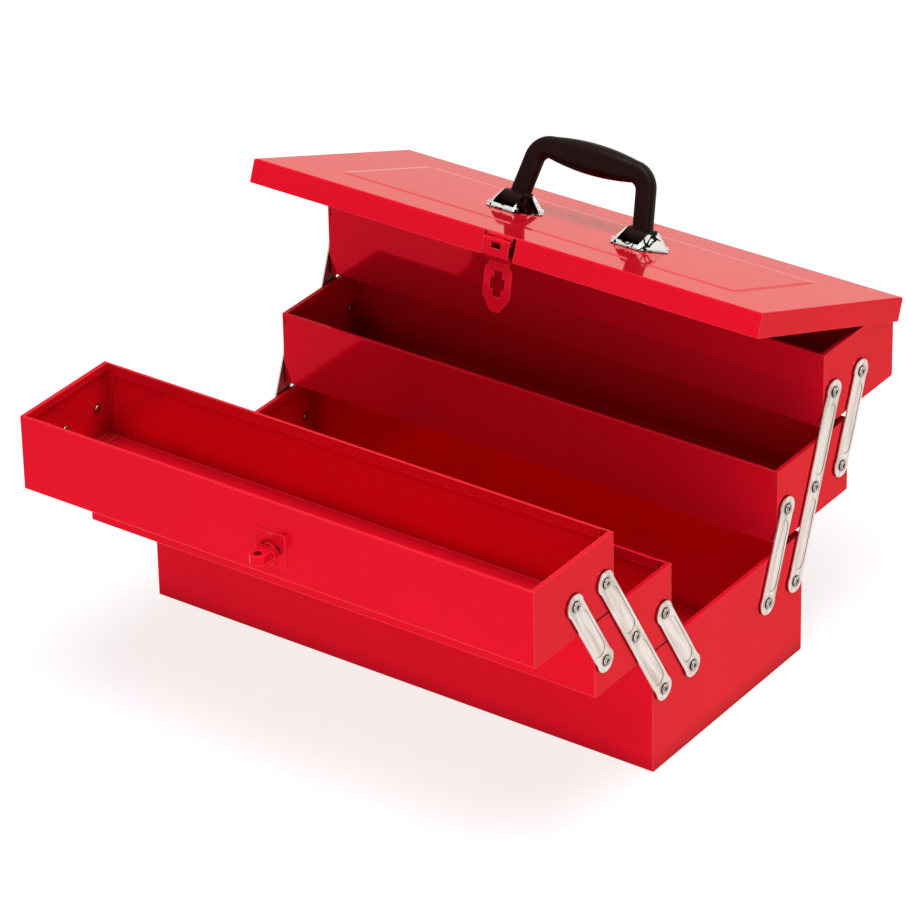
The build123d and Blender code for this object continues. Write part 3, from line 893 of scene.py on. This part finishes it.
def add_seen_directly(tree: Tree) -> Socket:
    """Tell the rays that show the background from those that carry light.

    Args:
        tree: The node tree of the world or the floor.

    Returns:
        A value of 1 for rays of the camera, of reflections and of clear materials.
    """
    rays = add_node(tree, "ShaderNodeLightPath", {}).outputs
    straight = add_node(
        tree,
        "ShaderNodeMath",
        {"operation": "ADD", 0: rays["Is Camera Ray"], 1: rays["Is Glossy Ray"]},
    )
    seen = add_node(
        tree,
        "ShaderNodeMath",
        {
            "operation": "ADD",
            "use_clamp": True,
            0: straight.outputs["Value"],
            1: rays["Is Transmission Ray"],
        },
    )
    return seen.outputs["Value"]


def add_glowing_matt(tree: Tree, colour: str, strength: float) -> Socket:
    """Add a matt surface that gives off white light as well.

    Args:
        tree: The node tree.
        colour: The sRGB colour of the surface.
        strength: The strength of its light.

    Returns:
        The surface's shader.
    """
    matt = add_node(tree, "ShaderNodeBsdfDiffuse", {"Color": srgb(colour)})
    glow = add_node(tree, "ShaderNodeEmission", {"Color": srgb(WHITE), "Strength": strength})
    both = add_node(tree, "ShaderNodeAddShader", {0: matt.outputs[0], 1: glow.outputs[0]})
    return both.outputs[0]


@dataclass(frozen=True)
class Camera:
    """The photograph's camera, fitted to the edges of the box.

    Attributes:
        place: Where it stands, in metres.
        view: The direction that it looks in.
        right: The direction of the picture's right side.
        focal_px: The focal length in pixels of a picture 910 pixels wide.
        centre_px: The point of the picture that the lens points at.
        picture_px: The width and height of the picture.
        sensor_mm: The width of its sensor.
        reach: How far it sees, in metres.
    """

    place: Point = (2.0390, -2.8640, 2.1640)
    view: Point = (-0.50355575, 0.7174639, -0.48132853)
    right: Point = (0.82296832, 0.56790319, -0.01446078)
    focal_px: float = 5368.09
    centre_px: tuple[float, float] = (503.30, 354.39)
    picture_px: float = 910.0
    sensor_mm: float = 36.0
    reach: float = 60.0

    def build(self) -> None:
        """Set up the camera and make it the scene's."""
        data = bpy.data.cameras.new("camera")
        data.sensor_width = self.sensor_mm
        data.lens = self.focal_px / self.picture_px * self.sensor_mm
        half = self.picture_px / 2
        data.shift_x = (half - self.centre_px[0]) / self.picture_px
        data.shift_y = (self.centre_px[1] - half) / self.picture_px
        data.clip_end = self.reach
        back = -Vector(self.view).normalized()
        right = Vector(self.right).normalized()
        up = back.cross(right)
        turn = Matrix((right, up, back)).transposed().to_4x4()
        camera = bpy.data.objects.new("camera", data)
        camera.matrix_world = Matrix.Translation(self.place) @ turn
        bpy.context.scene.collection.objects.link(camera)
        bpy.context.scene.camera = camera


@dataclass(frozen=True)
class Softbox:
    """A square soft lamp.

    Attributes:
        name: The lamp's name.
        place: Where it hangs, in metres.
        side: The length of its side, in metres.
        power: Its power in watts.
        aim: The point that it faces, the middle of the box.
    """

    name: str
    place: Point
    side: float
    power: float
    aim: Point = (0.0, 0.0, 0.15)

    def build(self) -> None:
        """Hang the lamp."""
        data = bpy.data.lights.new(self.name, "AREA")
        data.shape = "SQUARE"
        data.size = self.side
        data.energy = self.power
        lamp = bpy.data.objects.new(self.name, data)
        direction = Vector(self.aim) - Vector(self.place)
        lamp.rotation_euler = direction.to_track_quat("-Z", "Y").to_euler()
        lamp.location = self.place
        bpy.context.scene.collection.objects.link(lamp)


@dataclass(frozen=True)
class Studio:
    """A white floor and surroundings, with soft lamps above and in front.

    Attributes:
        lamps: The soft lamps.
        ambient: The strength of the surroundings as a lamp.
        floor_half: Half the length of the floor's side, in metres.
        floor_level_mm: The height of the floor, a hair below the box.
        floor_colour: The floor's colour to the light that it throws back at the box.
        floor_light: The light that it adds to what it throws back.
        shadow_colour: The floor's colour to the camera.
        shadow_glow: The glow that brings it to white outside the box's shadow.
    """

    lamps: tuple[Softbox, ...] = (
        Softbox("overhead_softbox", place=(0.3, -0.25, 2.6), side=1.8, power=88.0),
        Softbox("front_softbox", place=(1.0, -2.3, 0.6), side=1.6, power=20.0),
    )
    ambient: float = 0.15
    floor_half: float = 8.0
    floor_level_mm: float = -0.2
    floor_colour: str = "#f4f4f4"
    floor_light: float = 0.5
    shadow_colour: str = "#8a8a8a"
    shadow_glow: float = 0.8

    def build(self) -> None:
        """Build the world, the floor and the lamps."""
        self.build_world()
        self.build_floor()
        for lamp in self.lamps:
            lamp.build()

    def build_world(self) -> None:
        """Make the surroundings white to look at, and softer as a lamp."""
        world = bpy.data.worlds.new("white_surroundings")
        bpy.context.scene.world = world
        tree = clear_tree(world)
        light = add_node(
            tree, "ShaderNodeBackground", {"Color": srgb(WHITE), "Strength": self.ambient}
        )
        white = add_node(
            tree, "ShaderNodeBackground", {"Color": srgb(WHITE), "Strength": 1.0}
        )
        mixed = add_node(
            tree,
            "ShaderNodeMixShader",
            {0: add_seen_directly(tree), 1: light.outputs[0], 2: white.outputs[0]},
        )
        add_node(tree, "ShaderNodeOutputWorld", {"Surface": mixed.outputs[0]})

    def build_floor(self) -> None:
        """Lay a pale floor that keeps the box's shadow."""
        mesh = bpy.data.meshes.new("floor")
        half, level = self.floor_half, self.floor_level_mm * MM
        corners = [(x * half, y * half, level) for x, y in ((-1, -1), (1, -1), (1, 1), (-1, 1))]
        mesh.from_pydata(corners, [], [(0, 1, 2, 3)])
        floor = bpy.data.objects.new("floor", mesh)
        bpy.context.scene.collection.objects.link(floor)
        material = bpy.data.materials.new("pale_floor")
        tree = clear_tree(material)
        lighting = add_glowing_matt(tree, self.floor_colour, self.floor_light)
        looked_at = add_glowing_matt(tree, self.shadow_colour, self.shadow_glow)
        mixed = add_node(
            tree,
            "ShaderNodeMixShader",
            {0: add_seen_directly(tree), 1: lighting, 2: looked_at},
        )
        add_node(tree, "ShaderNodeOutputMaterial", {"Surface": mixed.outputs[0]})
        mesh.materials.append(material)


def main() -> None:
    """Load the frame, dress every piece and set up the studio."""
    logging.basicConfig(level=logging.INFO, format="%(name)s: %(message)s")
    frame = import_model()
    paint = Paintbox()
    groups = (
        PressedBox("base"),
        PressedBox("front_lower_tray"),
        PressedBox("front_upper_tray"),
        PressedBox("rear_lower_tray"),
        PressedBox("rear_upper_tray"),
        Linkage("front", Surface.FRONT_LINK),
        Linkage("rear", Surface.REAR_LINK),
        Lid("lid"),
        Latch("latch"),
        CarryingHandle("carrying_handle"),
    )
    for group in groups:
        group.dress(frame["nodes"], paint)
    bpy.context.scene.view_settings.view_transform = "Standard"
    Camera().build()
    Studio().build()


if __name__ == "__main__":
    main()
